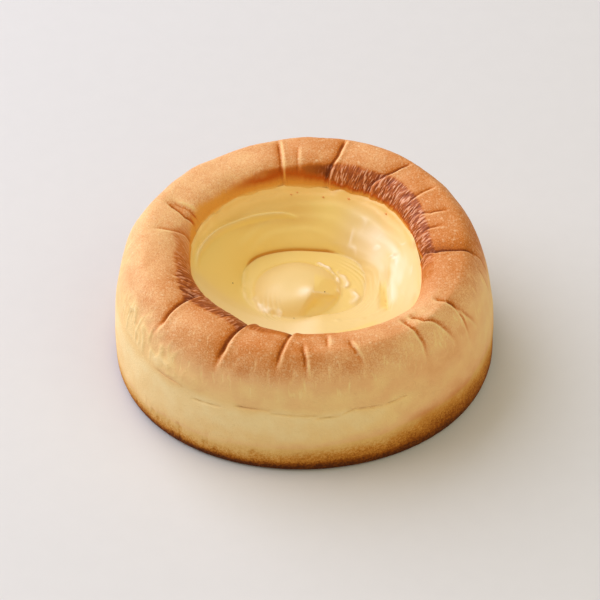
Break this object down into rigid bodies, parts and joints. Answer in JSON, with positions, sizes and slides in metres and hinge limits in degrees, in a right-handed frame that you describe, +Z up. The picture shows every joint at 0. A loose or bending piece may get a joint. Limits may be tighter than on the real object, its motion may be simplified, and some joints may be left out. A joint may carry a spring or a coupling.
{
  "type": "cream-filled brioche bun",
  "caption": "Round golden brioche bun with a thick creased rim round a sunken top that holds scooped custard cream.",
  "frame": {"origin": "middle of the flat base", "axes": "+Z up through the middle of the well, -Y towards the front, +X to the right"},
  "size_m": [0.1048, 0.101, 0.0388],
  "materials": {
    "crust": "baked golden crust, matte with a slight sheen, browned at the lip and the base",
    "custard": "soft pale yellow custard cream, smooth and moist"
  },
  "bodies": {
    "root": {"bun": "crust", "custard": "custard"}
  },
  "joints": []
}
